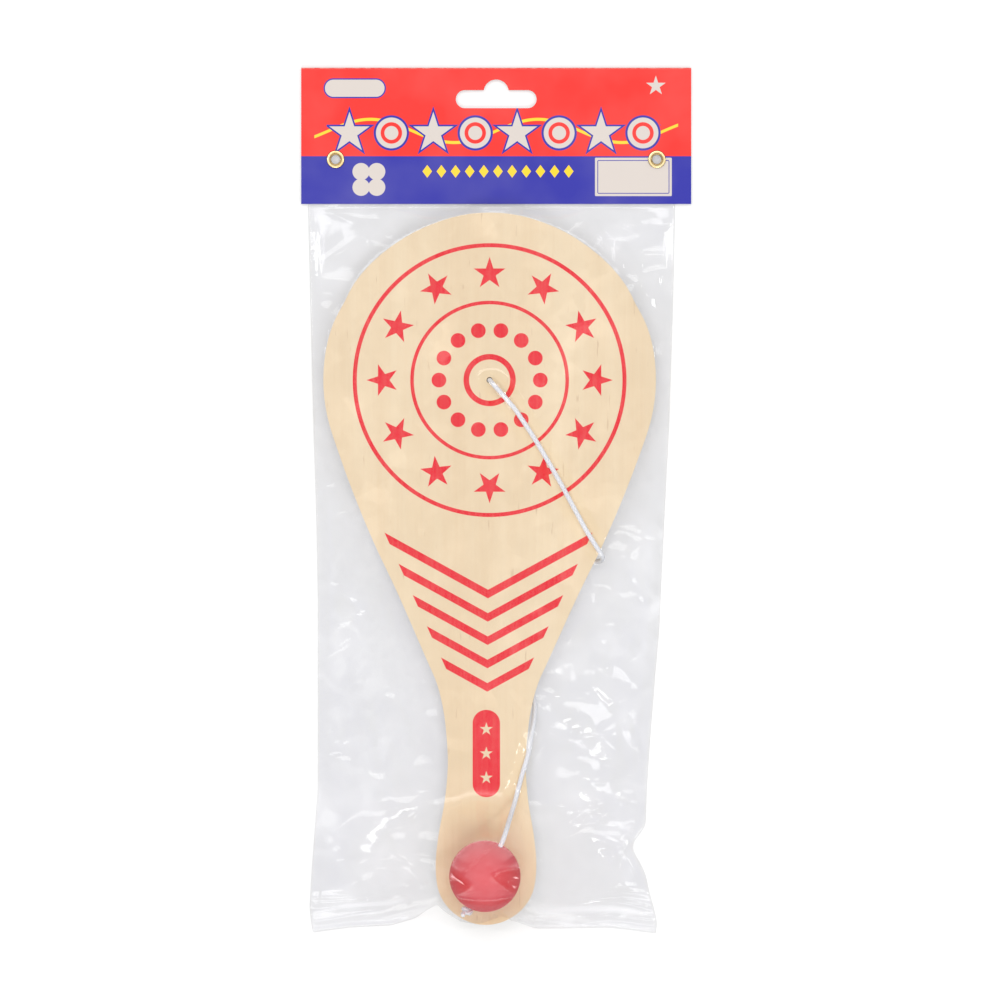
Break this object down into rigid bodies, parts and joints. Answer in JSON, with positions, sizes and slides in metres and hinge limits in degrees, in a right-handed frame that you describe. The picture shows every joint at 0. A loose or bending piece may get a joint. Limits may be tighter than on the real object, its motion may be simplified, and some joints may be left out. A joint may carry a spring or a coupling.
{
  "type": "paddle ball game",
  "caption": "Wooden paddle with a rubber ball on an elastic cord, in a clear film bag under a folded header card with a hang slot.",
  "frame": {"origin": "centre of the pack's outline, on the surface it lies on", "axes": "+Y from the ball towards the header card, +X to the right as the printed face is read, +Z out of the printed face"},
  "size_m": [0.1544, 0.343, 0.0379],
  "materials": {
    "printed_card": "coated card, printed red over blue, satin",
    "brass": "pressed brass, bright, lightly worn",
    "clear_film": "clear polypropylene film, glossy, softly crumpled",
    "printed_veneer": "pale lime veneer, sanded, printed in red",
    "core_wood": "core ply, sanded cut edge",
    "plain_veneer": "pale lime veneer, sanded, bare",
    "elastic": "white braided elastic, matt",
    "ball_rubber": "red moulded rubber, matt"
  },
  "bodies": {
    "bagged_toy": {"bag_front": "clear_film", "bag_back": "clear_film", "front_veneer": "printed_veneer", "core_ply": "core_wood", "back_veneer": "plain_veneer", "elastic_face_run": "elastic", "elastic_coil": "elastic", "elastic_ball_run": "elastic", "anchor_knot": "elastic", "ball_knot": "elastic"},
    "ball": {"ball": "ball_rubber"},
    "header": {"header_card": "printed_card", "eyelet_left": "brass", "eyelet_right": "brass", "bag_mouth": "clear_film"}
  },
  "joints": [
    {"name": "header_fold", "type": "hinge", "parent": "bagged_toy", "child": "header", "pos_m": [0, 0.1165, 0.0014], "axis": [1, 0, 0], "range_deg": [0, 90]},
    {"name": "ball_spin", "type": "hinge", "parent": "bagged_toy", "child": "ball", "pos_m": [-0.0044, -0.14707, 0.02326], "axis": [0.4329, 0.8684, 0.2419], "continuous": true}
  ]
}
